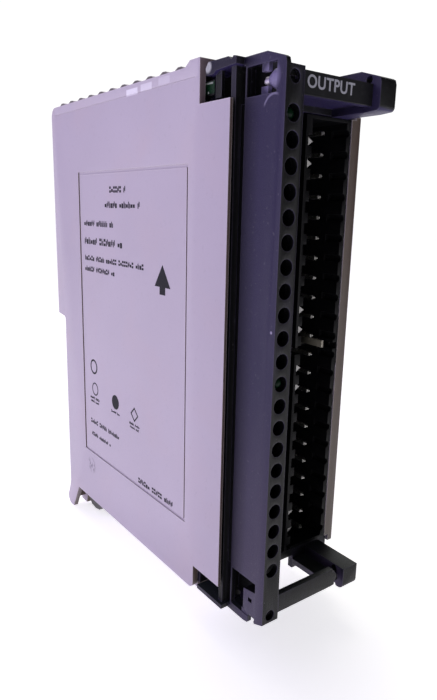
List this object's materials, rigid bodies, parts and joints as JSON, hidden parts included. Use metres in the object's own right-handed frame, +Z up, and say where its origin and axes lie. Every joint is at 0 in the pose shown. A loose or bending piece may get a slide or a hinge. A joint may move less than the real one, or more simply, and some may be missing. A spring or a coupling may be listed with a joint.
{
  "type": "plc input/output module",
  "caption": "Narrow upright controller module: two vented half shells, a dark front frame with an indicator strip, terminal headers with pins, and a rear hook and bus connector.",
  "frame": {"origin": "middle of the module's width and depth, on the plane its rear foot reaches down to", "axes": "+X to the right seen from the front, +Y from the front to the rear, +Z up"},
  "size_m": [0.041, 0.112, 0.142],
  "materials": {
    "shell": "fine moulded grain",
    "frame": "fine moulded grain",
    "label": "satin",
    "side_label": "satin film",
    "header": "satin moulded",
    "divider": "satin moulded",
    "coding": "satin moulded",
    "contact": "tinned",
    "gold": "gold plated",
    "board": "solder mask",
    "lamp": "tinted lens",
    "screw": "zinc plated",
    "latch": "satin moulded",
    "iron": "laminated core with tape",
    "sleeve": "shrink sleeve",
    "chip": "moulded epoxy",
    "blue": "satin moulded",
    "copper": "enamelled copper wire",
    "sink": "anodised"
  },
  "bodies": {
    "housing": {"left_shell": "shell", "right_shell": "shell", "indicator_strip": "frame", "back_plate": "frame", "upper_bracket": "frame", "lower_bracket": "frame", "label_plate": "label", "side_label": "side_label", "upper_header": "header", "lower_header": "header", "header_divider": "divider", "coding_tabs": "coding", "upper_pins": "contact", "lower_pins": "contact", "terminal_board": "board", "led_board": "board", "ready_led": "lamp", "supply_led": "lamp", "main_board": "board", "board_link": "header", "bus_connector": "divider", "bus_contacts": "gold", "hook_insert": "latch", "power_transformer": "iron", "filter_capacitors": "sleeve", "optocouplers": "coding", "controller_chip": "chip", "logic_chips": "chip", "converter_chips": "chip", "output_relays": "blue", "trimmers": "blue", "crystal": "screw", "choke": "copper", "regulator": "chip", "heat_sink": "sink"},
    "upper_screw_body": {"upper_screw": "screw"},
    "lower_screw_body": {"lower_screw": "screw"}
  },
  "joints": [
    {"name": "upper_screw_turn", "type": "hinge", "parent": "housing", "child": "upper_screw_body", "pos_m": [-0.0152, -0.053, 0.13515], "axis": [0, 1, 0], "continuous": true},
    {"name": "lower_screw_turn", "type": "hinge", "parent": "housing", "child": "lower_screw_body", "pos_m": [-0.0152, -0.053, 0.01475], "axis": [0, 1, 0], "continuous": true}
  ]
}
